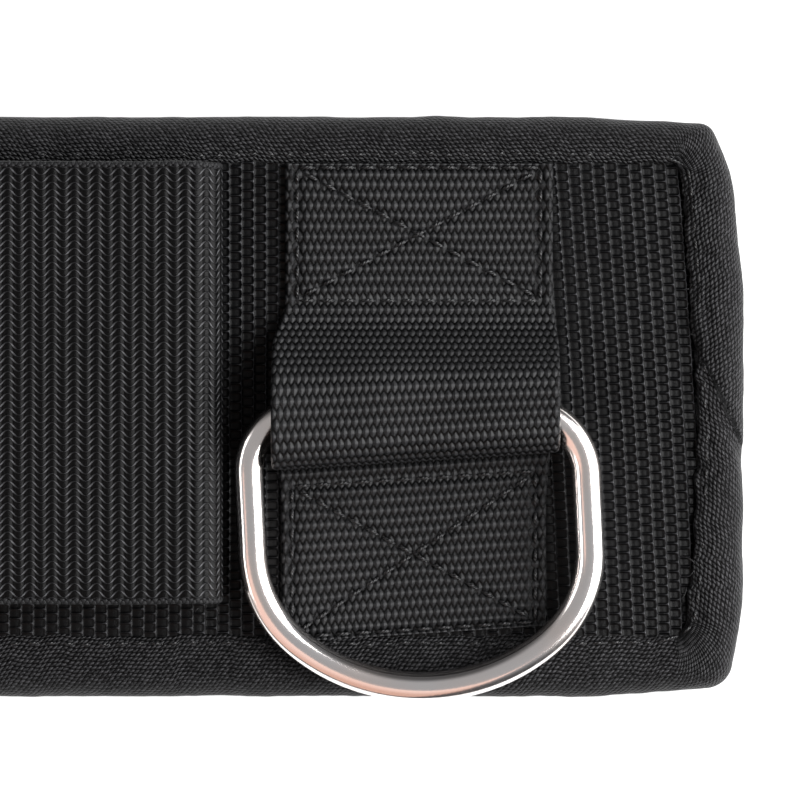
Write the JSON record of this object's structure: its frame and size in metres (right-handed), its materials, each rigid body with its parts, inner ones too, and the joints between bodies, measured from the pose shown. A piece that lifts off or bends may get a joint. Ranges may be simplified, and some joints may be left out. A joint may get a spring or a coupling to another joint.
{
  "type": "dive weight belt",
  "caption": "Padded belt with webbing sleeves for slide-out weight plates, D-rings held in sewn strap loops, and a waist strap with a quick-release cam buckle.",
  "frame": {"origin": "middle of the pad's back, in the plane it rests on, on the outer face of the middle strap keeper", "axes": "+X along the belt away from the buckle, +Y to the belt's upper edge when worn, +Z out of the face that looks away from the diver"},
  "size_m": [0.8502, 0.1022, 0.0266],
  "materials": {
    "binding_tape": "matte",
    "face_webbing": "matte",
    "foam": "matte",
    "lining_mesh": "matte",
    "panel_cloth": "matte",
    "hook_tape": "matte",
    "loop_tape": "matte",
    "ring_webbing": "matte",
    "sleeve_webbing": "matte",
    "waist_webbing": "matte",
    "keeper_webbing": "matte",
    "tab_webbing": "matte",
    "thread": "satin",
    "plate_coating": "satin",
    "ring_steel": "polished",
    "buckle_steel": "satin",
    "lever_steel": "satin",
    "pin_steel": "satin",
    "tip_steel": "satin"
  },
  "bodies": {
    "belt": {"edge_binding": "binding_tape", "face_webbing": "face_webbing", "foam_core": "foam", "back_lining": "lining_mesh", "sleeve_end_panels": "panel_cloth", "closure_hook_strips": "hook_tape", "closure_loop_strips": "loop_tape", "d_ring_strap_right": "ring_webbing", "d_ring_strap_left": "ring_webbing", "strap_stitching": "thread", "waist_strap": "waist_webbing", "strap_tip": "tip_steel", "strap_keepers": "keeper_webbing", "buckle_frame": "buckle_steel", "buckle_pin": "pin_steel", "weight_sleeve_1": "sleeve_webbing", "weight_sleeve_2": "sleeve_webbing", "weight_sleeve_3": "sleeve_webbing", "weight_sleeve_4": "sleeve_webbing"},
    "ring_right": {"d_ring_right": "ring_steel"},
    "ring_left": {"d_ring_left": "ring_steel"},
    "lever": {"buckle_lever": "lever_steel"},
    "weight_1": {"weight_plate_1": "plate_coating", "weight_tab_1": "tab_webbing"},
    "weight_2": {"weight_plate_2": "plate_coating", "weight_tab_2": "tab_webbing"},
    "weight_3": {"weight_plate_3": "plate_coating", "weight_tab_3": "tab_webbing"},
    "weight_4": {"weight_plate_4": "plate_coating", "weight_tab_4": "tab_webbing"}
  },
  "joints": [
    {"name": "d_ring_right_swing", "type": "hinge", "parent": "belt", "child": "ring_right", "pos_m": [0.3031, -0.0003, 0.0179], "axis": [-1, 0, 0], "range_deg": [0, 175]},
    {"name": "d_ring_left_swing", "type": "hinge", "parent": "belt", "child": "ring_left", "pos_m": [-0.3031, -0.0003, 0.0179], "axis": [-1, 0, 0], "range_deg": [0, 175]},
    {"name": "weight_1_slide", "type": "slide", "parent": "belt", "child": "weight_1", "axis": [0, -1, 0], "range_m": [0, 0.095]},
    {"name": "weight_2_slide", "type": "slide", "parent": "belt", "child": "weight_2", "axis": [0, -1, 0], "range_m": [0, 0.095]},
    {"name": "weight_3_slide", "type": "slide", "parent": "belt", "child": "weight_3", "axis": [0, -1, 0], "range_m": [0, 0.095]},
    {"name": "weight_4_slide", "type": "slide", "parent": "belt", "child": "weight_4", "axis": [0, -1, 0], "range_m": [0, 0.095]},
    {"name": "buckle_lever_swing", "type": "hinge", "parent": "belt", "child": "lever", "pos_m": [-0.448, 0, 0.0093], "axis": [0, 1, 0], "range_deg": [0, 120]}
  ]
}
